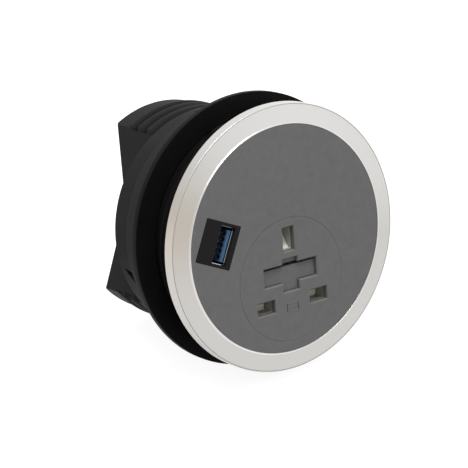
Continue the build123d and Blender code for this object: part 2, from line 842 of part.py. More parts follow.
def mains_inlet():
    outline = RectangleRounded(inlet_width, inlet_height, inlet_corner)
    body = sheet(outline, block_bottom, inlet_front)
    flange_bottom = block_bottom + block_wall
    body += slab(
        inlet_width + 2 * inlet_flange,
        inlet_height + 2 * inlet_flange,
        flange_bottom,
        flange_bottom + inlet_flange_thickness,
    )
    mouth = RectangleRounded(
        inlet_width - 2 * inlet_wall, inlet_height - 2 * inlet_wall, inlet_corner - inlet_wall
    )
    body -= sheet(mouth, block_bottom, inlet_floor)
    for index in (-1, 0, 1):
        x = index * inlet_pin_pitch
        gap = 2 * inlet_gap
        body -= slab(inlet_pin_width + gap, inlet_pin_height + gap, inlet_floor, inlet_front, x)
    return Pos(0, inlet_y, 0) * body


def inlet_pins():
    pins = []
    for index in (-1, 0, 1):
        x = index * inlet_pin_pitch
        pin = slab(inlet_pin_width, inlet_pin_height, inlet_pin_tip, inlet_tail_top_z, x, inlet_y)
        pins.append(pin)
    return Compound(pins)


def lead(name, start_x, start_y, pin_index):
    """An insulated lead that drops from a contact tail and bends over to an inlet pin."""
    end_x = pin_index * inlet_pin_pitch
    points = [
        Vector(start_x, start_y, tail_end),
        Vector(start_x, start_y, tail_end - lead_drop),
        Vector(end_x, inlet_y, inlet_tail_top_z + lead_rise),
        Vector(end_x, inlet_y, inlet_tail_top_z),
    ]
    runs = [after - before for before, after in zip(points, points[1:])]
    radii = []
    for before, after in zip(runs, runs[1:]):
        half_turn = math.radians(before.get_angle(after)) / 2
        shorter = min(before.length, after.length)
        radii.append(lead_bend_share * shorter / math.tan(half_turn))
    path = FilletPolyline(*points, radius=radii)
    section = Plane(origin=path @ 0, z_dir=path % 0) * Circle(lead_radius)
    wire = sweep(section, path=path)
    expected = math.pi * lead_radius**2 * path.length
    print(name, "bend radii", [round(radius, 1) for radius in radii])
    print(name, "volume over section times length", round(wire.volume / expected, 4))
    return wire


def live_lead():
    return lead("live_lead", socket_x + slot_x, slot_y, 1)


def neutral_lead():
    return lead("neutral_lead", socket_x - slot_x, slot_y, -1)


def earth_lead():
    return lead("earth_lead", socket_x, earth_y, 0)


def housing_screws():
    screws = []
    head_top = drum_bottom + screw_head_depth
    for angle in boss_angles:
        screw = disc(screw_head_radius, head_top - screw_head_height, head_top)
        screw += disc(screw_radius, head_top, screw_top_z)
        screws.append(Pos(*polar(boss_circle, angle), 0) * screw)
    return Compound(screws)


def insert_screws():
    screws = []
    for angle in ear_angles:
        x, y = polar(ear_circle, angle)
        top = plate_back + ear_screw_depth - screw_hole_gap
        screw = disc(ear_screw_radius, cup_roof_bottom, top)
        screw += disc(ear_screw_head_radius, cup_roof_bottom - ear_screw_head_height, cup_roof_bottom)
        screws.append(Pos(socket_x + x, insert_y + y, 0) * screw)
    return Compound(screws)


nodes = {
    "bezel_ring": bezel_ring(),
    "face_plate": face_plate(),
    "top_frame": top_frame(),
    "drum_housing": drum_housing(),
    "pressure_ring": pressure_ring(),
    "lock_nut": lock_nut(),
    "socket_insert": socket_insert(),
    "socket_base": socket_base(),
    "live_contact": live_contact(),
    "neutral_contact": neutral_contact(),
    "earth_contact": earth_contact(),
    "fuse_clip_supply": fuse_clip(1),
    "fuse_clip_load": fuse_clip(-1),
    "fuse_carrier": fuse_carrier(),
    "fuse_body": fuse_body(),
    "fuse_caps": fuse_caps(),
    "earth_flap": earth_flap(),
    "shutter": shutter(),
    "shutter_spring": shutter_spring(),
    "usb_housing": usb_housing(),
    "usb_shell": at_front_port * port_shell(),
    "usb_tongue": at_front_port * port_tongue(),
    "usb_contacts": Compound([at_front_port * strip for strip in port_contacts()]),
    "usb_board": usb_board(),
    "usb_rear_shell": at_rear_port * port_shell(),
    "usb_rear_tongue": at_rear_port * port_tongue(),
    "mains_inlet": mains_inlet(),
    "inlet_pins": inlet_pins(),
    "live_lead": live_lead(),
    "neutral_lead": neutral_lead(),
    "earth_lead": earth_lead(),
    "housing_screws": housing_screws(),
    "insert_screws": insert_screws(),
}

os.makedirs("parts", exist_ok=True)
for name, solid in nodes.items():
    export_step(solid, f"parts/{name}.step")
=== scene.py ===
import json

import bmesh
import bpy
import numpy as np
from mathutils import Matrix, Vector
from mathutils.geometry import delaunay_2d_cdt


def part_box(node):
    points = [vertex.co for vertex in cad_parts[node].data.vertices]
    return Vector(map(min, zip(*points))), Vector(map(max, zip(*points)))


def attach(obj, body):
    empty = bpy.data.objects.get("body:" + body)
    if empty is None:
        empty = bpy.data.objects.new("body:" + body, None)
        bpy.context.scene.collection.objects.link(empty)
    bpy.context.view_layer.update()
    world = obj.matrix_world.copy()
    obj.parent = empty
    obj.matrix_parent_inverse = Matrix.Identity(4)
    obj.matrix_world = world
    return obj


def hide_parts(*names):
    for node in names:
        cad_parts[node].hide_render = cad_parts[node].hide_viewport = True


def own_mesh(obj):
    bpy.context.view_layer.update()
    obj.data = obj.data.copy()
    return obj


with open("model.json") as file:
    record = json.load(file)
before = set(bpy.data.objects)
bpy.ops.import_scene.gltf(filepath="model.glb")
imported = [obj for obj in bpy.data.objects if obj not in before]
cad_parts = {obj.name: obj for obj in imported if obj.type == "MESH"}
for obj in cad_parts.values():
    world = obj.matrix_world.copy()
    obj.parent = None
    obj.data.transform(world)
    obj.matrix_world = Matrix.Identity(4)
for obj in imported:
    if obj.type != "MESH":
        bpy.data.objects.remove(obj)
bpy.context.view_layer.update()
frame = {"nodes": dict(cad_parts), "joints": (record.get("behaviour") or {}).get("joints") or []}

# The view: a long lens 0.85 m away, past the module's left side while it lies on its side.
# The camera's three axes and its place come from the round edges and the pin slots in the picture.
camera_across = Vector((0.80719, -0.07439, 0.58558))
camera_down = Vector((-0.21317, -0.96182, 0.17165))
camera_ahead = Vector((0.55046, -0.26338, -0.79223))
camera_place = Vector((-0.479811, 0.225791, 0.6649))
picture_side = 468
focal_pixels = 2500.0
camera = bpy.data.objects.new("camera", bpy.data.cameras.new("camera"))
camera.data.lens = camera.data.sensor_width * focal_pixels / picture_side
facing = Matrix((camera_across, -camera_down, -camera_ahead)).transposed()
camera.matrix_world = Matrix.Translation(camera_place) @ facing.to_4x4()
bpy.context.scene.collection.objects.link(camera)
bpy.context.scene.camera = camera

# The floor: the module rests on the rim of its clamp ring and on the end of the rear block.
# It is a plain pale table top that looks white to the lens, keeps a soft shadow and is clear from below.
floor_up = Vector((0.0, 0.9843, 0.1763))
floor_point = Vector((0.0, -0.0478, -0.0175))
floor_half = 3.0
floor_colour = (0.24, 0.24, 0.24, 1.0)
floor_glow = 0.89


class Wire:
    """One value in a material: an operator on it adds a Math node, and plain numbers stay in Python."""

    def __init__(self, finish, socket):
        self.finish = finish
        self.socket = socket

    def maths(self, operation, *values):
        return self.finish.add("ShaderNodeMath", {"operation": operation}, dict(enumerate(values)))

    def __add__(self, other):
        return self.maths("ADD", self, other)

    def __radd__(self, other):
        return self.maths("ADD", other, self)

    def __sub__(self, other):
        return self.maths("SUBTRACT", self, other)

    def __rsub__(self, other):
        return self.maths("SUBTRACT", other, self)

    def __mul__(self, other):
        return self.maths("MULTIPLY", self, other)

    def __rmul__(self, other):
        return self.maths("MULTIPLY", other, self)

    def __pow__(self, other):
        return self.maths("POWER", self, other)

    def __abs__(self):
        return self.maths("ABSOLUTE", self)

    def __gt__(self, other):
        return self.maths("GREATER_THAN", self, other)

    def __lt__(self, other):
        return self.maths("LESS_THAN", self, other)

    def above(self, other):
        """The larger of the two."""
        return self.maths("MAXIMUM", self, other)


class Finish:
    """A material of nodes: plain numbers sit on its Principled shader, and wires feed what varies."""

    def __init__(self, name, **sockets):
        self.material = bpy.data.materials.new(name)
        self.material.use_nodes = True
        self.tree = self.material.node_tree
        self.shader = self.tree.nodes["Principled BSDF"]
        self.feed(**sockets)

    def join(self, socket, value):
        if isinstance(value, Wire):
            self.tree.links.new(value.socket, socket)
        else:
            socket.default_value = value

    def feed(self, **sockets):
        for name, value in sockets.items():
            self.join(self.shader.inputs[name.replace("_", " ")], value)

    def add(self, kind, settings=None, sockets=None, output=0):
        """Adds one node: its settings are set first, then its sockets' values or links."""
        made = self.tree.nodes.new(kind)
        for name, value in (settings or {}).items():
            setattr(made, name, value)
        for name, value in (sockets or {}).items():
            self.join(made.inputs[name], value)
        return Wire(self, made.outputs[output])

    def place(self):
        return self.add("ShaderNodeTexCoord", output="Object")

    def axes(self):
        """The three object coordinates in millimetres."""
        place = self.place()
        parts = [self.add("ShaderNodeSeparateXYZ", sockets={0: place}, output=axis) for axis in "XYZ"]
        return [part * 1000.0 for part in parts]

    def joined(self, x, y, z):
        return self.add("ShaderNodeCombineXYZ", sockets={0: x, 1: y, 2: z})

    def noise(self, size, detail=2.0, roughness=0.5, at=None):
        """Noise whose blots are about so many millimetres across."""
        if at is None:
            at, scale = self.place(), 1000.0 / size
        else:
            scale = 1.0 / size
        sockets = {"Vector": at, "Scale": scale, "Detail": detail, "Roughness": roughness}
        return self.add("ShaderNodeTexNoise", sockets=sockets, output="Fac")

    def between(self, factor, low, high):
        """A number that runs from low to high with a factor."""
        return factor * (high - low) + low

    def tint(self, factor, low, high):
        """A colour that runs from low to high with a factor."""
        settings = {"data_type": "RGBA", "clamp_factor": True}
        colours = [value if isinstance(value, Wire) else (*value, 1.0) for value in (low, high)]
        sockets = {"Factor": factor, 6: colours[0], 7: colours[1]}
        return self.add("ShaderNodeMix", settings, sockets, output=2)

    def bump(self, height, depth, strength=1.0):
        """Relief so many millimetres deep."""
        sockets = {"Height": height, "Distance": depth / 1000.0, "Strength": strength}
        self.feed(Normal=self.add("ShaderNodeBump", sockets=sockets))


def new_object(name, mesh, finish):
    mesh.materials.clear()
    mesh.materials.append(finish.material)
    made = bpy.data.objects.new(name, mesh)
    bpy.context.scene.collection.objects.link(made)
    return made


floor_side = Vector((floor_half, 0.0, 0.0))
floor_depth = floor_up.cross(floor_side)
floor_mesh = bpy.data.meshes.new("floor")
floor_signs = ((-1, -1), (1, -1), (1, 1), (-1, 1))
floor_corners = [floor_point + floor_side * a + floor_depth * b for a, b in floor_signs]
floor_mesh.from_pydata([tuple(corner) for corner in floor_corners], [], [(0, 1, 2, 3)])
table_top = Finish("table_top", Base_Color=floor_colour, Roughness=0.9)
rays = [
    table_top.add("ShaderNodeLightPath", output=kind)
    for kind in ("Is Camera Ray", "Is Glossy Ray", "Is Transmission Ray")
]
glow = table_top.add("ShaderNodeEmission", sockets={"Strength": floor_glow})
no_glow = table_top.add("ShaderNodeEmission", sockets={"Strength": 0.0})
seen = rays[0].above(rays[1]).above(rays[2])
seen_glow = table_top.add("ShaderNodeMixShader", sockets={0: seen, 1: no_glow, 2: glow})
lit = Wire(table_top, table_top.shader.outputs[0])
white_top = table_top.add("ShaderNodeAddShader", sockets={0: lit, 1: seen_glow})
from_below = table_top.add("ShaderNodeNewGeometry", output="Backfacing")
clear = table_top.add("ShaderNodeBsdfTransparent")
one_sided = table_top.add("ShaderNodeMixShader", sockets={0: from_below, 1: white_top, 2: clear})
table_top.join(table_top.tree.nodes["Material Output"].inputs["Surface"], one_sided)
new_object("floor", floor_mesh, table_top)

# The light: a white room all round, a soft lamp that grazes the plate from its upper side, and a
# weaker one at its left. The room lights the module as strongly as the lens and bright metal see it.
room_white = (1.0, 1.0, 1.0, 1.0)
room_strength = 1.0
lamp_aim = (0.0, 0.0, -0.03)
main_lamp = {"place": (-0.15, 0.85, 0.34), "size": 0.5, "watts": 10.5}
fill_lamp = {"place": (-0.9, 0.3, -0.3), "size": 0.7, "watts": 0.4}
world = bpy.data.worlds.new("room")
world.use_nodes = True
bpy.context.scene.world = world
room = world.node_tree
room.nodes.clear()
white_room = room.nodes.new("ShaderNodeBackground")
white_room.inputs["Color"].default_value = room_white
white_room.inputs["Strength"].default_value = room_strength
room_output = room.nodes.new("ShaderNodeOutputWorld")
room.links.new(white_room.outputs[0], room_output.inputs["Surface"])


def soft_lamp(name, place, size, watts):
    lamp = bpy.data.lights.new(name, "AREA")
    lamp.shape = "SQUARE"
    lamp.size = size
    lamp.energy = watts
    holder = bpy.data.objects.new(name, lamp)
    holder.location = place
    holder.rotation_mode = "QUATERNION"
    holder.rotation_quaternion = (Vector(lamp_aim) - Vector(place)).to_track_quat("-Z", "Y")
    bpy.context.scene.collection.objects.link(holder)


soft_lamp("main_lamp", **main_lamp)
soft_lamp("fill_lamp", **fill_lamp)

# The bezel: a turned ring of satin metal that lies on the desk and covers the edge of the hole.
# Its top slopes down a little to the rim, with a fine turned groove beside it, and its inner lip
# stands up round the face plate, which it clips down.


def corners_of(node):
    """The node's lowest and highest corners in millimetres."""
    low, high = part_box(node)
    return np.array(low) * 1000.0, np.array(high) * 1000.0


def circle(radius, steps, x=0.0, y=0.0):
    """A round plan loop: the angle runs once round, and an inset draws the circle in."""
    turn = np.linspace(0.0, 2.0 * np.pi, steps, endpoint=False)

    def loop(inset):
        return np.column_stack([x + (radius - inset) * np.cos(turn), y + (radius - inset) * np.sin(turn)])

    return loop


def eased(corners):
    """A profile of (inset, height, ease) corners, each cut back by its ease along both sides and
    bridged by a quadratic curve: the mean of the two cuts and the corner, weighted by the share."""
    steps = 3
    profile = []
    count = len(corners)
    for index, (inset, height, ease) in enumerate(corners):
        corner = np.array([inset, height])
        if ease == 0.0:
            profile.append(tuple(corner))
            continue
        ends = []
        for neighbour in (corners[index - 1], corners[(index + 1) % count]):
            side = np.array(neighbour[:2]) - corner
            ends.append(corner + side / np.hypot(*side) * ease)
        for share in np.linspace(0.0, 1.0, steps + 1):
            left = ends[0] * (1 - share) + corner * share
            right = corner * (1 - share) + ends[1] * share
            profile.append(tuple(left * (1 - share) + right * share))
    return profile


class Shell:
    """A piece that grows from walls, which are rings of points joined row by row, and from flat fills.
    Everything is in millimetres until the piece is made."""

    def __init__(self):
        self.points = []
        self.faces = []
        self.count = 0

    def grid(self, rings, outside=True):
        """Joins closed rows of points, equally many in each, into bands of four-sided faces."""
        rows, columns = len(rings), len(rings[0])
        self.points.append(np.vstack(rings))
        row, column = np.meshgrid(np.arange(rows - 1), np.arange(columns), indexing="ij")
        after = (column + 1) % columns
        corners = [
            row * columns + column,
            (row + 1) * columns + column,
            (row + 1) * columns + after,
            row * columns + after,
        ]
        quads = np.stack(corners, -1).reshape(-1, 4) + self.count
        self.faces.extend((quads if outside else quads[:, ::-1]).tolist())
        self.count += rows * columns

    def wall(self, loop, profile, outside=True):
        """Carries a plan loop through (inset, height) steps, given from the front to the back."""
        rings = []
        for inset, height in profile:
            plan = loop(inset)
            rings.append(np.column_stack([plan, np.full(len(plan), height)]))
        self.grid(rings, outside)

    def turned(self, loop, corners):
        """A closed profile of eased corners carried round a plan loop."""
        profile = eased(corners)
        self.wall(loop, profile + profile[:1])

    def fill(self, loops, height, front=True):
        """Fills the flat region inside the first loop and outside the others by triangles."""
        flat = [Vector(point) for loop in loops for point in loop]
        outlines, begin = [], 0
        for loop in loops:
            outlines.append(list(range(begin, begin + len(loop))))
            begin += len(loop)
        made = delaunay_2d_cdt(flat, [], outlines, 1, 1e-7)
        points = np.array([tuple(point) for point in made[0]])
        for face, origins in zip(made[2], made[5]):
            if origins == [0]:
                ring = points[face]
                after = np.roll(ring, -1, axis=0)
                area = np.sum(ring[:, 0] * after[:, 1] - after[:, 0] * ring[:, 1])
                wanted = list(face) if (area > 0) == front else list(face)[::-1]
                self.faces.append([index + self.count for index in wanted])
        self.points.append(np.column_stack([points, np.full(len(points), height)]))
        self.count += len(points)

    def block(self, outer, holes, low, high, ease):
        """A flat block of the plan inside one loop and outside the others, its front edges eased."""
        quarter = ease / 4
        self.wall(outer, [(ease, high), (quarter, high - quarter), (0, high - ease), (0, low)])
        for hole in holes:
            self.wall(hole, [(-ease, high), (-quarter, high - quarter), (0, high - ease), (0, low)], False)
        self.fill([outer(ease)] + [hole(-ease) for hole in holes], high)
        self.fill([outer(0)] + [hole(0) for hole in holes], low, front=False)

    def piece(self, name, finish):
        """Turns what has grown into one mesh in metres, its seams closed and its round parts smooth."""
        mesh = bpy.data.meshes.new(name)
        mesh.from_pydata((np.vstack(self.points) / 1000.0).tolist(), [], self.faces)
        return finished(name, mesh, finish)


merge_distance = 2e-6
smooth_angle = np.radians(32.0)


def finished(name, mesh, finish):
    """Merges the mesh's doubles and shades it smooth, apart from edges sharper than the smooth angle."""
    solid = bmesh.new()
    solid.from_mesh(mesh)
    bmesh.ops.remove_doubles(solid, verts=solid.verts, dist=merge_distance)
    solid.to_mesh(mesh)
    solid.free()
    mesh.polygons.foreach_set("use_smooth", np.ones(len(mesh.polygons), bool))
    mesh.set_sharp_from_angle(angle=smooth_angle)
    return new_object(name, mesh, finish)


def fit(piece, body, slot, *nodes):
    """The piece rides on its body and stands for its CAD nodes, if any. Its slot is not used.
    Its large faces keep their own direction, so that only the small edge faces look round."""
    even = piece.modifiers.new("even", "WEIGHTED_NORMAL")
    even.keep_sharp = True
    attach(piece, body)
    if nodes:
        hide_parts(*nodes)


bezel_high = corners_of("bezel_ring")[1]
bezel_radius = bezel_high[0]
lip_top = bezel_high[2]
lip_rise = 0.4
bezel_top = lip_top - lip_rise
band_width = 6.9
lip_width = 0.45
lip_thickness = 1.05
lip_under = bezel_top - lip_thickness
seat_width = 1.85
seat_inset = band_width - seat_width
wall_thickness = 1.2
roof_thickness = 1.5
inner_top = bezel_top - roof_thickness
rim_fall = 0.9
rim_top = bezel_top - rim_fall
lip_ease, lip_foot_ease = 0.12, 0.06
groove_ease, rim_ease = 0.02, 0.08
foot_ease, roof_ease, seat_ease = 0.15, 0.1, 0.05
round_steps = 320
groove_start = 0.3
groove_width = 0.16
groove_depth = 0.14
groove_top = rim_top + (bezel_top - rim_top) * groove_start / (band_width - lip_width)
bezel = Shell()
bezel.turned(
    circle(bezel_radius, round_steps),
    [
        (band_width, lip_top, lip_ease),
        (band_width - lip_width, lip_top, lip_ease),
        (band_width - lip_width, bezel_top, lip_foot_ease),
        (groove_start + groove_width, groove_top, groove_ease),
        (groove_start + groove_width / 2, groove_top - groove_depth, groove_ease),
        (groove_start, groove_top, groove_ease),
        (0.0, rim_top, rim_ease),
        (0.0, 0.0, foot_ease),
        (wall_thickness, 0.0, foot_ease),
        (wall_thickness, inner_top, roof_ease),
        (seat_inset, inner_top, seat_ease),
        (seat_inset, lip_under, seat_ease),
        (band_width, lip_under, seat_ease),
    ],
)
# Its colour holds painted light: a painted sheen, a painted warm reflection, a painted lip highlight and
# painted shade in its groove.
bezel_metal = Finish("bezel_metal")
x, y, z = bezel_metal.axes()
from_axis = (x * x + y * y) ** 0.5
line_size = 0.14
spin_lines = bezel_metal.noise(line_size, 3.0, 0.6, bezel_metal.joined(from_axis, 0.0, z))
around = y.maths("ARCTAN2", y, x)
painted_sheen_bearing = 1.4
painted_reflection_bearing = 2.85
painted_reflection_narrowness = 14.0
line_contrast, painted_reflection_share, lip_highlight_share, groove_shade_share = 0.2, 0.8, 0.9, 0.65
# Painted sheen: the base colour brightens towards one bearing round the ring, with the turned lines over
# it.
painted_sheen = (around - painted_sheen_bearing).maths("COSINE", around - painted_sheen_bearing).above(0.0)
# A painted warm reflection: the colour turns a warmer, darker brown round a second bearing.
painted_warm_reflection = (around - painted_reflection_bearing).maths("COSINE", around - painted_reflection_bearing).above(0.0) ** painted_reflection_narrowness
groove_middle = bezel_radius - groove_start - groove_width / 2
# The fine groove is painted dark brown as painted shade.
in_groove = abs(from_axis - groove_middle) < groove_width * 0.6
lip_side = bezel_radius - band_width + lip_width
# The lip's side is painted pale as a painted highlight.
painted_lip_highlight = abs(from_axis - lip_side) < lip_width * 0.4
lined_painted_sheen = painted_sheen + (spin_lines - 0.5) * line_contrast
satin_with_painted_light = bezel_metal.tint(lined_painted_sheen, (0.475, 0.462, 0.445), (0.72, 0.71, 0.695))
satin_with_painted_light = bezel_metal.tint(painted_warm_reflection * painted_reflection_share, satin_with_painted_light, (0.46, 0.415, 0.36))
satin_with_painted_light = bezel_metal.tint(painted_lip_highlight * lip_highlight_share, satin_with_painted_light, (0.72, 0.72, 0.715))
bezel_metal.feed(
    Base_Color=bezel_metal.tint(in_groove * groove_shade_share, satin_with_painted_light, (0.12, 0.085, 0.06)),
    Metallic=bezel_metal.between(in_groove, 1.0, 0.1),
    Roughness=bezel_metal.between(spin_lines, 0.26, 0.4) + in_groove * 0.5,
)
fit(bezel.piece("bezel", bezel_metal), "module", "bezel_metal", "bezel_ring")

# The face plate: mid-grey moulded plastic with a fine spark grain and a few pale specks of dust.
# The bezel's lip holds its flange down. It has a round hole for the socket moulding and a square
# window for the port.
plate_low, plate_high = corners_of("face_plate")
plate_top = plate_high[2]
plate_thickness = 2.5
plate_bottom = plate_top - plate_thickness
flange_low = plate_low[2]
flange_thickness = 1.8
flange_top = flange_low + flange_thickness
flange_radius = plate_high[0]
flange_inset = 1.76
plate_radius = flange_radius - flange_inset
flange_bore = 1.84
ledge_depth = 1.4
window_ledge = plate_top - ledge_depth
socket_x = 0.8
socket_y = -14.3
socket_radius = 21.6
seam_width = 0.05
seam_depth = 0.25
port_x = -28.103
port_y = 4.302
port_turn = np.radians(-24.0)
port_shift = 2.3
window_width, window_height = 14.6, 15.25
throat_width, throat_height = 8.0, 14.2
window_corner = 0.3


def rounded_box(width, height, corner, steps=4, turn=0.0, x=0.0, y=0.0, shift=0.0):
    """A rectangular plan loop with arcs at its corners, moved along its own width, turned and placed."""
    arc = np.linspace(0.0, np.pi / 2, steps + 1)
    cosine, sine = np.cos(turn), np.sin(turn)

    def loop(inset):
        reach = max(corner - inset, 1e-4)
        rows = []
        for quarter, (side_x, side_y) in enumerate(((1, 1), (-1, 1), (-1, -1), (1, -1))):
            angle = arc + quarter * np.pi / 2
            centre_x = side_x * (width / 2 - inset - reach) + shift
            centre_y = side_y * (height / 2 - inset - reach)
            rows.append(
                np.column_stack([centre_x + reach * np.cos(angle), centre_y + reach * np.sin(angle)])
            )
        flat = np.vstack(rows)
        return flat @ np.array([[cosine, sine], [-sine, cosine]]) + np.array([x, y])

    return loop


port_place = {"turn": port_turn, "x": port_x, "y": port_y}
plate_rim = circle(plate_radius, round_steps)
socket_steps = 240
socket_hole = circle(socket_radius + seam_width, socket_steps, socket_x, socket_y)
port_window = rounded_box(window_width, window_height, window_corner, **port_place)
port_throat = rounded_box(throat_width, throat_height, window_corner, shift=port_shift, **port_place)
edge_ease = 0.1
plate = Shell()
plate.wall(
    plate_rim,
    [
        (edge_ease, plate_top),
        (edge_ease / 4, plate_top - edge_ease / 4),
        (0, plate_top - edge_ease),
        (0, flange_top),
        (-flange_inset, flange_top),
        (-flange_inset, flange_low),
        (flange_bore, flange_low),
        (flange_bore, plate_bottom),
    ],
)
plate.wall(
    socket_hole,
    [
        (-seam_width, plate_top),
        (0, plate_top - seam_width),
        (seam_width, plate_top - seam_depth),
        (0, plate_bottom),
    ],
    outside=False,
)
plate.wall(
    port_window,
    [(-edge_ease, plate_top), (0, plate_top - edge_ease), (0, window_ledge)],
    outside=False,
)
plate.wall(port_throat, [(0, window_ledge), (0, plate_bottom)], outside=False)
plate.fill([plate_rim(edge_ease), socket_hole(-seam_width), port_window(-edge_ease)], plate_top)
plate.fill([port_window(0), port_throat(0)], window_ledge)
plate.fill([plate_rim(flange_bore), socket_hole(0), port_throat(0)], plate_bottom, front=False)


def spark_grey(name, deep=None, painted_shade_tint=None):
    """Mid grey with soft blots, a spark grain that also roughens it, and rare pale specks.
    Below a given height it takes on another tint, as painted shade."""
    speck_least, speck_share = 0.79, 0.7
    finish = Finish(name, Specular_IOR_Level=0.3)
    mottle = finish.noise(3.0, 4.0, 0.6)
    grain = finish.noise(0.4, 2.0, 0.6)
    specks = finish.noise(1.1, 1.0, 0.5) > speck_least
    tone = mottle * 0.5 + grain * 0.5 + specks * speck_share
    grey = finish.tint(tone, (0.064, 0.064, 0.064), (0.124, 0.124, 0.124))
    if deep is not None:
        grey = finish.tint(finish.axes()[2] < deep, grey, painted_shade_tint)
    finish.feed(
        Base_Color=grey,
        Roughness=finish.between(grain, 0.5, 0.64),
    )
    finish.bump(grain, 0.03, 0.5)
    return finish


plate_grey = spark_grey("plate_grey")
fit(plate.piece("plate", plate_grey), "module", "plate_plastic", "face_plate")

# The socket moulding: the same grey plastic, with three slots and the well for the fuse drawer.
# The mouths of slots and well have a small flat chamfer, and deeper down the walls are lighter, painted a
# dim ivory as ivory in shade.


def softened(node, name, finish, bevel, mouth=None):
    """A copy of a CAD node's mesh with flat parts joined into whole faces and its edges broken.
    A mouth is (height, x, y, reach, chamfer): square edges there get that flat chamfer first."""
    flat_angle = 0.4
    mesh = frame["nodes"][node].data.copy()
    solid = bmesh.new()
    solid.from_mesh(mesh)
    bmesh.ops.remove_doubles(solid, verts=solid.verts, dist=merge_distance)
    bmesh.ops.dissolve_limit(
        solid, angle_limit=np.radians(flat_angle), verts=solid.verts, edges=solid.edges, delimit=set()
    )
    if mouth:
        height, middle_x, middle_y, reach, chamfer = mouth
        square_angle = 60.0
        height_slack = 0.01
        rim = []
        for side in solid.edges:
            x, y, z = (side.verts[0].co + side.verts[1].co) / 2 * 1000.0
            level = abs(side.verts[0].co.z - side.verts[1].co.z) < merge_distance
            near = abs(z - height) < height_slack and np.hypot(x - middle_x, y - middle_y) < reach
            if level and near and np.degrees(side.calc_face_angle(0.0)) > square_angle:
                rim.append(side)
        bmesh.ops.bevel(
            solid, geom=rim, offset=chamfer / 1000.0, offset_type="OFFSET", segments=1, affect="EDGES"
        )
    solid.to_mesh(mesh)
    solid.free()
    piece = finished(name, mesh, finish)
    if bevel:
        edge = piece.modifiers.new("edge", "BEVEL")
        edge.width = bevel / 1000.0
        edge.segments = 2
        edge.limit_method = "ANGLE"
        edge.angle_limit = smooth_angle
    return piece


well_reach = 20.0
well_chamfer = 0.34
well_mouth = (plate_top, socket_x, socket_y, well_reach, well_chamfer)
liner_depth = 2.3
liner_top = plate_top - liner_depth
socket_grey = spark_grey("socket_grey", liner_top, (0.25, 0.245, 0.205))
fit(
    softened("socket_insert", "socket_face", socket_grey, 0.04, mouth=well_mouth),
    "module",
    "plate_plastic",
    "socket_insert",
)

# The earth slot's sleeve: a thin ivory moulding that lines the slot behind the front.
# Its lower end slopes, and stays clear of the leaf that swings below it.
# The sleeve's ivory is painted dim as painted shade, since it lies deep in the slot.
ivory_in_painted_shade = Finish("ivory_in_painted_shade", Roughness=0.45)
ivory_in_painted_shade.feed(
    Base_Color=ivory_in_painted_shade.tint(ivory_in_painted_shade.noise(1.2), (0.335, 0.325, 0.285), (0.375, 0.36, 0.32))
)
earth_y = -0.2
earth_width = 4.8
earth_height = 8.4
liner_corner = 0.25
liner_least = 0.1
liner_proud = 0.08
liner_buried = 0.3
leaf_slope = np.tan(np.radians(35.0))
leaf_clear_z = 2.62
leaf_clear_y = -5.4
earth_slot = rounded_box(earth_width, earth_height, liner_corner, 3, x=socket_x, y=earth_y)


def liner_ring(inset, at_top):
    """The slot's outline at the liner's level top, or at a lower end that falls along a slope in Y."""
    plan = earth_slot(inset)
    lower = leaf_clear_z - leaf_slope * (plan[:, 1] - leaf_clear_y)
    level = np.full(len(plan), liner_top)
    return np.column_stack([plan, level if at_top else np.minimum(lower, liner_top - liner_least)])


liner_rings = [
    liner_ring(-liner_buried, True),
    liner_ring(liner_proud, True),
    liner_ring(liner_proud, False),
    liner_ring(-liner_buried, False),
]
liner = Shell()
liner.grid(liner_rings + liner_rings[:1], outside=False)
fit(liner.piece("earth_slot_liner", ivory_in_painted_shade), "module", "ivory_plastic")

# The lifting ramp: a small wedge of the socket's grey plastic in the notch above the drawer.
# A blade goes in over it to lift the drawer out.
ramp_width = 6.3
ramp_low_y, ramp_high_y = -8.85, -6.95
ramp_low_z, ramp_high_z, ramp_foot_z = 3.3, 4.2, 1.0
ramp = Shell()
ramp_outline = np.array(
    [
        (ramp_low_y, ramp_foot_z),
        (ramp_low_y, ramp_low_z),
        (ramp_high_y, ramp_high_z),
        (ramp_high_y, ramp_foot_z),
    ]
)
ramp_sides = [
    np.column_stack([np.full(len(ramp_outline), x), ramp_outline])
    for x in (socket_x - ramp_width / 2, socket_x + ramp_width / 2)
]
ramp.grid(ramp_sides)
ramp.faces.extend([[0, 1, 2, 3], [7, 6, 5, 4]])
fit(ramp.piece("lifting_ramp", plate_grey), "module", "plate_plastic")

# The fuse symbol: a box with a line through it, below the drawer and raised a tenth of a millimetre.
# It is moulded in the same grey plastic, painted a little lighter as light on its ridges, with painted
# shade at its foot and at the two ends of its box.
symbol_x = 0.6
symbol_y = -24.05
symbol_height = 3.0
symbol_width = 5.0
symbol_wire_length = 7.1
symbol_line = 0.36
symbol_rise = 0.1
symbol_sunk = 0.1
symbol_low, symbol_high = plate_top - symbol_sunk, plate_top + symbol_rise
symbol_ease = 0.08
symbol_corner, symbol_inner_corner = 0.2, 0.1
symbol_grey = Finish("symbol_grey", Roughness=0.55, Specular_IOR_Level=0.3)
x, y, z = symbol_grey.axes()
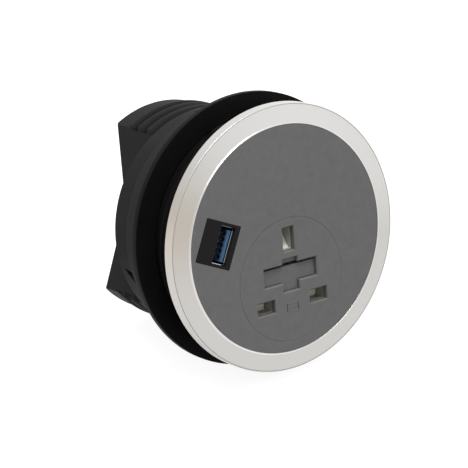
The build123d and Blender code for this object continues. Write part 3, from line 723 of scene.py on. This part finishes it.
# Painted light and shade: the grey is lighter than the plate, and darker at the box's two ends and at the
# foot.
painted_shade_ends = abs(abs(x - symbol_x) - (symbol_width - symbol_line) / 2) < symbol_line / 2
painted_shade_foot = z < symbol_high - symbol_ease / 3
symbol_grain_and_painted_light = symbol_grey.tint(symbol_grey.noise(0.4), (0.09, 0.09, 0.09), (0.15, 0.15, 0.15))
symbol_grain_and_painted_light = symbol_grey.tint(painted_shade_ends * 0.9, symbol_grain_and_painted_light, (0.035, 0.035, 0.035))
symbol_grey.feed(Base_Color=symbol_grey.tint(painted_shade_foot * 0.8, symbol_grain_and_painted_light, (0.02, 0.02, 0.02)))
symbol_place = {"x": symbol_x, "y": symbol_y}
inner_width, inner_height = symbol_width - 2 * symbol_line, symbol_height - 2 * symbol_line
symbol_box = rounded_box(symbol_width, symbol_height, symbol_corner, 3, **symbol_place)
symbol_window = rounded_box(inner_width, inner_height, symbol_inner_corner, 3, **symbol_place)
symbol_wire = rounded_box(symbol_wire_length, symbol_line, symbol_inner_corner, 3, **symbol_place)
symbol = Shell()
symbol.block(symbol_box, [symbol_window], symbol_low, symbol_high, symbol_ease)
symbol.block(symbol_wire, [], symbol_low, symbol_high, symbol_ease)
fit(symbol.piece("fuse_symbol", symbol_grey), "module", "plate_plastic")

# The fuse drawer: a tray of the plate's grey plastic with a finger tab.
# It is sunk a little below the face and pulled straight out.
fit(
    softened("fuse_carrier", "drawer_front", plate_grey, 0.08),
    "fuse_drawer",
    "plate_plastic",
    "fuse_carrier",
)

# The fuse: a glass tube with plated end caps and a fine wire that sags a little inside it.
# It is 20 mm long and lies in the drawer.
bright_steel = Finish("bright_steel", Metallic=1.0)
steel_cloud = bright_steel.noise(0.7)
bright_steel.feed(
    Base_Color=bright_steel.tint(steel_cloud, (0.42, 0.42, 0.42), (0.55, 0.55, 0.55)),
    Roughness=bright_steel.between(steel_cloud, 0.2, 0.32),
)
fit(softened("fuse_caps", "fuse_end_caps", bright_steel, 0.05), "fuse_drawer", "plated_steel", "fuse_caps")

fuse_glass = Finish("fuse_glass", Transmission_Weight=1.0)
smear = fuse_glass.noise(2.0)
fuse_glass.feed(
    Base_Color=fuse_glass.tint(smear, (0.88, 0.93, 0.92), (0.96, 0.98, 0.98)),
    Roughness=fuse_glass.between(smear, 0.02, 0.08),
)


def dress(finish, *nodes):
    """Gives CAD nodes their finish."""
    for node in nodes:
        mesh = frame["nodes"][node].data
        mesh.materials.clear()
        mesh.materials.append(finish.material)


dress(fuse_glass, "fuse_body")
fuse_low, fuse_high = corners_of("fuse_body")
fuse_middle = (fuse_low + fuse_high) / 2
wire_radius = 0.12
wire_sag = 0.35
wire_inset = 1.0


def sagging_wire(ends, middle, radius, sag):
    """A thin tube along X: a circle across X at each step, lowered by a parabola between the ends."""
    steps, sides, closed_end = 24, 8, 1e-4
    along = np.linspace(ends[0], ends[1], steps)[:, None]
    drop = sag * (1.0 - np.linspace(-1.0, 1.0, steps)[:, None] ** 2)
    turn = np.linspace(0.0, 2.0 * np.pi, sides, endpoint=False)
    width = np.full((steps, 1), radius)
    width[[0, -1]] = closed_end
    across = middle[1] + width * np.cos(turn)
    return np.stack([along + 0.0 * turn, across, middle[2] - drop + width * np.sin(turn)], -1)


fuse_wire = Shell()
fuse_ends = (fuse_low[0] + wire_inset, fuse_high[0] - wire_inset)
fuse_wire.grid(sagging_wire(fuse_ends, fuse_middle, wire_radius, wire_sag), outside=False)
fit(fuse_wire.piece("fuse_wire", bright_steel), "fuse_drawer", "plated_steel")

# The shutter and the leaf: smooth ivory mouldings that close the slots from behind.
# The earth pin swings the leaf down, and the leaf drives the shutter off the line and neutral slots.
ivory = Finish("ivory", Roughness=0.35)
ivory.feed(Base_Color=ivory.tint(ivory.noise(1.2), (0.72, 0.69, 0.6), (0.8, 0.77, 0.68)))
leaf_ivory = Finish("leaf_ivory", Roughness=0.5)
leaf_ivory.feed(Base_Color=leaf_ivory.tint(leaf_ivory.noise(1.2), (0.74, 0.725, 0.665), (0.84, 0.82, 0.75)))
fit(softened("shutter", "shutter_slide", ivory, 0.1), "slider", "ivory_plastic", "shutter")
fit(softened("earth_flap", "sloping_leaf", leaf_ivory, 0.1), "leaf", "ivory_plastic", "earth_flap")

# The return spring: a coil of bright steel wire that bears on the shutter's slide.
# It pushes the shutter back and is pressed short while a plug is in; the share it is pressed by is worked
# out below but not used.
slide_joint = next(joint for joint in frame["joints"] if joint["name"] == "shutter_slide")
slide_travel = max(slide_joint["range_m"]) * 1000.0
spring_low, spring_high = corners_of("shutter_spring")
pressed_share = 1.0 - slide_travel / (spring_high - spring_low)[1]
spring = softened("shutter_spring", "return_spring", bright_steel, 0.0)
fit(spring, "module", "plated_steel", "shutter_spring")
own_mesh(spring)

# The contacts: brass sheet, bent to grip the pins and the fuse, with a dull rolled surface.
# They sit in the dark base behind the shutter and show only while a plug holds it open.
brass = Finish("brass", Metallic=1.0)
x, y, z = brass.axes()
rolled_stretch = 0.1
rolled = brass.noise(0.3, 3.0, 0.6, brass.joined(x, y, z * rolled_stretch))
tarnish = brass.noise(2.5)
brass.feed(
    Base_Color=brass.tint(
        tarnish, brass.tint(rolled, (0.6, 0.42, 0.15), (0.75, 0.55, 0.24)), (0.42, 0.27, 0.1)
    ),
    Roughness=brass.between(rolled, 0.22, 0.42),
)
dress(brass, "live_contact", "neutral_contact", "earth_contact", "fuse_clip_supply", "fuse_clip_load")

# The port's insert: a square black moulding with a fine grain, set flush in the plate's window.
# It holds the port's shell, which lies sunk a little in it.
insert_black = Finish("insert_black", Specular_IOR_Level=0.08)
insert_grain = insert_black.noise(0.3)
insert_black.feed(
    Base_Color=insert_black.tint(insert_grain, (0.005, 0.005, 0.005), (0.009, 0.009, 0.009)),
    Roughness=insert_black.between(insert_grain, 0.45, 0.6),
)
insert_black.bump(insert_grain, 0.02, 0.4)
fit(softened("usb_housing", "port_insert", insert_black, 0.06), "module", "black_plastic", "usb_housing")

# The port's shell: plated steel sheet folded into a box, with round corners and a broken inner edge.
# Two of its corners and its top end are painted dark as shade, and a like shell faces backwards at the
# rear.
shell_low = corners_of("usb_rear_shell")[0]
shell_high = corners_of("usb_shell")[1]
shell_width = 5.72
shell_height = 13.1
shell_wall = 0.3
shell_length = 17.0
shell_recess = 0.8
shell_flare = 0.08
shell_corner, shell_inner_corner = 0.7, 0.4
corner_along, corner_across = 5.5, 1.7
shade_along = 6.1
shade_share = 0.8
dark_share = 0.95
cosine, sine = np.cos(port_turn), np.sin(port_turn)


def port_axes(finish):
    """Millimetres across and along the port, turned with it about its middle, and the height."""
    x, y, z = finish.axes()
    x, y = x - port_x, y - port_y
    return x * cosine + y * sine - port_shift, y * cosine - x * sine, z


shell_steel = Finish("shell_steel", Metallic=1.0)
across, along, z = port_axes(shell_steel)
# Painted shade: two corners and the top end of the shell are darkened nearly to black.
painted_shade_corner = (abs(along) > corner_along) * (across > corner_across)
shell_cloud = shell_steel.noise(0.7)
shell_grey = shell_steel.tint(shell_cloud, (0.42, 0.42, 0.42), (0.55, 0.55, 0.55))
painted_shade_mask = painted_shade_corner.above((along > shade_along) * shade_share)
shell_steel.feed(
    Base_Color=shell_steel.tint(painted_shade_mask * dark_share, shell_grey, (0.01, 0.01, 0.01)),
    Roughness=shell_steel.between(shell_cloud, 0.2, 0.32),
)


def port_shell(name, node, mouth, end, front):
    """The port's folded shell: a thin wall with round corners whose inner edge is broken."""
    inner_width, inner_height = shell_width - 2 * shell_wall, shell_height - 2 * shell_wall
    outer = rounded_box(shell_width, shell_height, shell_corner, 5, shift=port_shift, **port_place)
    inner = rounded_box(inner_width, inner_height, shell_inner_corner, 5, shift=port_shift, **port_place)
    step = shell_flare if front else -shell_flare
    shell = Shell()
    shell.wall(outer, [(0, mouth), (0, end)], front)
    shell.wall(inner, [(-shell_flare, mouth), (0, mouth - step), (0, end)], not front)
    shell.fill([outer(0), inner(-shell_flare)], mouth, front)
    shell.fill([outer(0), inner(0)], end, not front)
    fit(shell.piece(name, shell_steel), "module", "port_chrome", node)


port_shell("port_shell", "usb_shell", shell_high[2] - shell_recess, shell_high[2] - shell_length, True)
port_shell(
    "rear_port_shell", "usb_rear_shell", shell_low[2] + shell_recess, shell_low[2] + shell_length, False
)

# The tongue: a blue moulding that stands in the shell and carries the contacts.
# Two rows of five recesses on its contact side are painted dark as shade, and that face is painted a darker
# blue as shade.
tongue_blue = Finish("tongue_blue", Roughness=0.4, Specular_IOR_Level=0.3)
across, along, z = port_axes(tongue_blue)
recess_pitch = 2.0
recess_half_width = 0.66
recess_floor = 1.1
recess_lip = 0.66
recess_end = 5.0
recess_rows = {"deep": (2.3, 0.98), "tip": (2.0, 1.3)}
blue = tongue_blue.tint(tongue_blue.noise(0.8), (0.016, 0.06, 0.13), (0.026, 0.085, 0.175))
nearest = along - along.maths("ROUND", along * (1 / recess_pitch)) * recess_pitch
in_column = (abs(nearest) < recess_half_width) * (abs(along) < recess_end)
rows = [
    (abs(z - shell_high[2] + depth) < half).above(abs(z - shell_low[2] - depth) < half)
    for depth, half in recess_rows.values()
]
# Painted shade: the recesses are dark patches of colour, and the contact side is a darker blue.
painted_recess_shade = in_column * (rows[0] * (across < recess_floor)).above(rows[1] * (across < recess_lip))
side_shade_share = 0.9
painted_shade_side_blue = tongue_blue.tint((across < recess_lip) * side_shade_share, blue, (0.005, 0.024, 0.07))
tongue_blue.feed(Base_Color=tongue_blue.tint(painted_recess_shade, painted_shade_side_blue, (0.004, 0.004, 0.005)))
fit(softened("usb_tongue", "port_tongue", tongue_blue, 0.26), "module", "blue_plastic", "usb_tongue")
fit(
    softened("usb_rear_tongue", "rear_port_tongue", tongue_blue, 0.26),
    "module",
    "blue_plastic",
    "usb_rear_tongue",
)

# The port's contacts: strips of gold-plated sheet along the tongue.
# Four gold tips stand out beside its contact side.
gold = Finish("gold", Metallic=1.0)
gold_cloud = gold.noise(0.6)
gold.feed(
    Base_Color=gold.tint(gold_cloud, (0.72, 0.47, 0.14), (0.86, 0.63, 0.27)),
    Roughness=gold.between(gold_cloud, 0.18, 0.3),
)
dress(gold, "usb_contacts")
tip_places = (-3.5, -1.0, 1.0, 3.5)
tip_width, tip_across, tip_sheet = 0.9, 0.06, 0.25
tip_low, tip_high, tip_ease = 0.6, 1.5, 0.06
tip_corner = 0.05
tips = Shell()
for tip_along in tip_places:
    x = port_x + cosine * (tip_across + port_shift) - sine * tip_along
    y = port_y + sine * (tip_across + port_shift) + cosine * tip_along
    tip = rounded_box(tip_sheet, tip_width, tip_corner, 2, turn=port_turn, x=x, y=y)
    tips.block(tip, [], tip_low, tip_high, tip_ease)
fit(tips.piece("contact_tips", gold), "module", "gold_plate")

# The port's board: glass cloth in green resin, whose weave shows faintly.
# It joins the front port to the rear one inside the housing.
board_green = Finish("board_green", Specular_IOR_Level=0.4)
x, y, z = board_green.axes()
weave_pitch = 0.5
weave_rate = 2 * np.pi / weave_pitch
weave = (x * weave_rate).maths("SINE", x * weave_rate) * (z * weave_rate).maths("SINE", z * weave_rate)
board_green.feed(
    Base_Color=board_green.tint(weave * 0.5 + 0.5, (0.015, 0.14, 0.05), (0.035, 0.22, 0.085)),
    Roughness=board_green.between(board_green.noise(1.5), 0.3, 0.45),
)
dress(board_green, "usb_board")

# The clamp ring: a flat black moulding that the nut presses up against the underside of the desk.
# Its front face has two shallow round ejector marks and a fine seam across it.
ring_low, ring_high = corners_of("pressure_ring")
ring_radius = ring_high[0]
ring_front = ring_high[2]
ring_back = ring_low[2]
ring_width = 7.9
ring_ease = 0.35
mark_radius = 3.4
mark_depth = 0.06
mark_ease = 0.04
mark_bearings = (101.0, -168.0)
mark_circle = ring_radius - ring_width / 2
seam_bearing = np.radians(72.75)
seam_half_width = 0.3
black_moulding = Finish("black_moulding", Specular_IOR_Level=0.05)
x, y, z = black_moulding.axes()
black_grain = black_moulding.noise(0.4)
black_cloud = black_moulding.noise(14.0)
across_seam = y * np.cos(seam_bearing) - x * np.sin(seam_bearing)
on_seam = (abs(across_seam) < seam_half_width) * (y > 0.0)
black_moulding.feed(
    Base_Color=black_moulding.tint(
        black_grain * 0.5 + black_cloud * 0.5 + on_seam * 0.5, (0.002, 0.002, 0.002), (0.006, 0.006, 0.006)
    ),
    Roughness=black_moulding.between(black_grain, 0.4, 0.55),
)
black_moulding.bump(black_grain, 0.02, 0.4)
ring = Shell()
ring_rim = circle(ring_radius, round_steps)
ring.wall(
    ring_rim,
    [
        (ring_ease, ring_front),
        (ring_ease / 4, ring_front - ring_ease / 4),
        (0, ring_front - ring_ease),
        (0, ring_back + ring_ease),
        (ring_ease / 4, ring_back + ring_ease / 4),
        (ring_ease, ring_back),
        (ring_width, ring_back),
        (ring_width, ring_front),
    ],
)
marks = []
for bearing in np.radians(mark_bearings):
    mark = circle(mark_radius, 48, mark_circle * np.cos(bearing), mark_circle * np.sin(bearing))
    ring.wall(mark, [(-mark_ease, ring_front), (0, ring_front - mark_depth)], outside=False)
    ring.fill([mark(0)], ring_front - mark_depth)
    marks.append(mark(-mark_ease))
ring.fill([ring_rim(ring_ease), ring_rim(ring_width)] + marks, ring_front)
fit(ring.piece("clamp_ring", black_moulding), "clamp", "black_plastic", "pressure_ring")

# The top frame: the black front half of the barrel, which carries the bezel and the face plate.
# Coarse three-start thread ridges run down it and on down the drum for the nut.
fit(softened("top_frame", "barrel_front", black_moulding, 0.12), "module", "black_plastic", "top_frame")
barrel_high = corners_of("drum_housing")[1]
barrel_radius = barrel_high[0]
frame_bottom = corners_of("top_frame")[0][2]
thread_lead = 17.1
thread_starts = 3
thread_top = -5.0
thread_end = -29.4
thread_rise = 0.34
thread_root = 1.9
thread_crest = 1.2
thread_sunk = 0.1
thread_taper = 1.4
thread_step = 0.15


def thread(name, finish, slot, top, bottom):
    """Ridges along helices: a trapezoid of radius and height carried down by the lead each turn.
    Towards both ends of the thread the trapezoid sinks into the barrel."""
    ridges = Shell()
    heights = np.linspace(top, bottom, int((top - bottom) / thread_step))[:, None]
    rise = np.clip(np.minimum(thread_top - heights, heights - thread_end) / thread_taper, 0.0, 1.0)
    crest = barrel_radius + thread_rise * rise
    root = np.full_like(crest, barrel_radius - thread_sunk)
    radii = np.hstack([root, crest, crest, root])
    drops = np.array([thread_root, thread_crest, -thread_crest, -thread_root]) / 2
    for start in range(thread_starts):
        turn = (thread_top - heights) / thread_lead * 2 * np.pi + start * 2 * np.pi / thread_starts
        rows = np.stack([radii * np.cos(turn), radii * np.sin(turn), heights + drops], -1)
        rows[[0, -1]] = rows[[0, -1]].mean(axis=1, keepdims=True)
        ridges.grid(rows, outside=False)
    fit(ridges.piece(name, finish), "module", slot)


thread("frame_thread", black_moulding, "black_plastic", thread_top, frame_bottom)

# The nut and the housing: dark grey mouldings with a fine sparked texture and soft flow marks.
# The housing's drum carries the rear block; its arcs have the notches of an interrupted thread, with
# painted shade deep in them.
dark_moulding = Finish("dark_moulding", Specular_IOR_Level=0.04)
x, y, z = dark_moulding.axes()
dark_grain = dark_moulding.noise(0.33, 3.0)
flow_stretch = 0.35
flow = dark_moulding.noise(9.0, 2.0, 0.5, dark_moulding.joined(x, y, z * flow_stretch))
block_step = 0.2
block_radius = barrel_radius - block_step
notch_first_z = -40.9
notch_pitch = 5.7
notch_width = 4.1
notch_depth = 1.4
notch_last = 2
below_first = notch_first_z - z - (y < 0.0) * (notch_pitch / 2)
phase = below_first.maths("MODULO", below_first, notch_pitch)
notch_end = notch_last * notch_pitch + notch_width
along_notch = (below_first > 0.0) * (phase < notch_width) * (below_first < notch_end)
radius = (x * x + y * y) ** 0.5
notch_slack = 0.1
# Painted shade: inside the notches the colour darkens towards their bottoms.
painted_notch_shade = ((block_radius - radius) * (1.0 / notch_depth)) * (
    radius > block_radius - notch_depth - notch_slack
)
plain = dark_moulding.tint(dark_grain * 0.5 + flow * 0.5, (0.006, 0.006, 0.0062), (0.019, 0.019, 0.0195))
dark_moulding.feed(
    Base_Color=dark_moulding.tint(along_notch * painted_notch_shade, plain, (0.001, 0.001, 0.001)),
    Roughness=dark_moulding.between(dark_grain, 0.42, 0.6),
)
dark_moulding.bump(dark_grain, 0.03, 0.4)
nut_grey = Finish("nut_grey", Specular_IOR_Level=0.05)
nut_grain = nut_grey.noise(0.33, 3.0)
nut_grey.feed(
    Base_Color=nut_grey.tint(nut_grain, (0.007, 0.007, 0.0072), (0.022, 0.022, 0.0225)),
    Roughness=nut_grey.between(nut_grain, 0.4, 0.58),
)
nut_grey.bump(nut_grain, 0.03, 0.4)
fit(softened("lock_nut", "nut", nut_grey, 0.25), "nut", "housing_plastic", "lock_nut")
fit(softened("drum_housing", "housing", dark_moulding, 0.15), "module", "housing_plastic", "drum_housing")
thread("drum_thread", dark_moulding, "housing_plastic", frame_bottom, thread_end)
dress(dark_moulding, "socket_base")

# The housing screws: four plated pan-head screws, driven from behind through the drum into the frame.
# Each head has a cross recess with sloping sides.
screw_low, screw_high = corners_of("housing_screws")
head_radius = 2.7
head_height = 2.0
head_ease = 0.45
shank_radius = 1.5
cross_length = 2.9
cross_width = 0.75
cross_depth = 1.2
cross_slope = 0.12
screw_circle = 33.9
screw_bearings = (45.0, 135.0, 202.0, 338.0)


def cross(length, width, turn, x, y):
    """A plus-shaped plan loop: twelve corners, drawn in by the inset on every side."""
    signs = np.array([[1, 1], [-1, 1], [-1, -1], [1, -1]])
    cosine, sine = np.cos(turn), np.sin(turn)

    def loop(inset):
        long, short = length / 2 - inset, width / 2 - inset
        rows = []
        for quarter, (side_x, side_y) in enumerate(signs):
            arms = [(long, short), (short, short), (short, long)]
            ordered = arms if quarter % 2 == 0 else arms[::-1]
            rows.extend((side_x * a, side_y * b) for a, b in ordered)
        flat = np.array(rows)
        return flat @ np.array([[cosine, sine], [-sine, cosine]]) + np.array([x, y])

    return loop


screws = Shell()
head_top = screw_low[2] + head_height
recess_bottom = screw_low[2] + cross_depth
for index, bearing in enumerate(np.radians(screw_bearings)):
    x, y = screw_circle * np.cos(bearing), screw_circle * np.sin(bearing)
    head = circle(head_radius, 48, x, y)
    shank = circle(shank_radius, 32, x, y)
    recess = cross(cross_length, cross_width, bearing + index, x, y)
    screws.wall(
        head,
        [
            (0, head_top),
            (0, screw_low[2] + head_ease),
            (head_ease / 4, screw_low[2] + head_ease / 4),
            (head_ease, screw_low[2]),
        ],
    )
    screws.fill([head(head_ease), recess(0)], screw_low[2], front=False)
    screws.wall(recess, [(0, screw_low[2]), (cross_slope, recess_bottom)])
    screws.fill([recess(cross_slope)], recess_bottom, front=False)
    screws.fill([head(0), shank(0)], head_top)
    screws.wall(shank, [(0, screw_high[2]), (0, head_top)])
    screws.fill([shank(0)], screw_high[2])
fit(screws.piece("rear_screws", bright_steel), "module", "plated_steel", "housing_screws")
dress(bright_steel, "insert_screws")

# The supply inlet in the rear face: a black three-pole well with brass pins.
# Three short sleeved leads join the pins to the socket's contacts inside the housing.
fit(softened("mains_inlet", "inlet_well", black_moulding, 0.15), "module", "black_plastic", "mains_inlet")
fit(softened("inlet_pins", "inlet_blades", brass, 0.15), "module", "contact_brass", "inlet_pins")


def sleeve(name, low, high, node):
    """Soft lead sleeve: two close colours in faint blots, a little duller where it is darker."""
    finish = Finish(name, Specular_IOR_Level=0.4)
    blots = finish.noise(1.0, 3.0)
    finish.feed(Base_Color=finish.tint(blots, low, high), Roughness=finish.between(blots, 0.5, 0.4))
    dress(finish, node)


sleeve("brown_sleeve", (0.15, 0.055, 0.02), (0.24, 0.1, 0.04), "live_lead")
sleeve("blue_sleeve", (0.02, 0.08, 0.34), (0.04, 0.13, 0.46), "neutral_lead")
sleeve("green_sleeve", (0.1, 0.36, 0.05), (0.2, 0.5, 0.1), "earth_lead")

bpy.context.scene.view_settings.view_transform = "Standard"
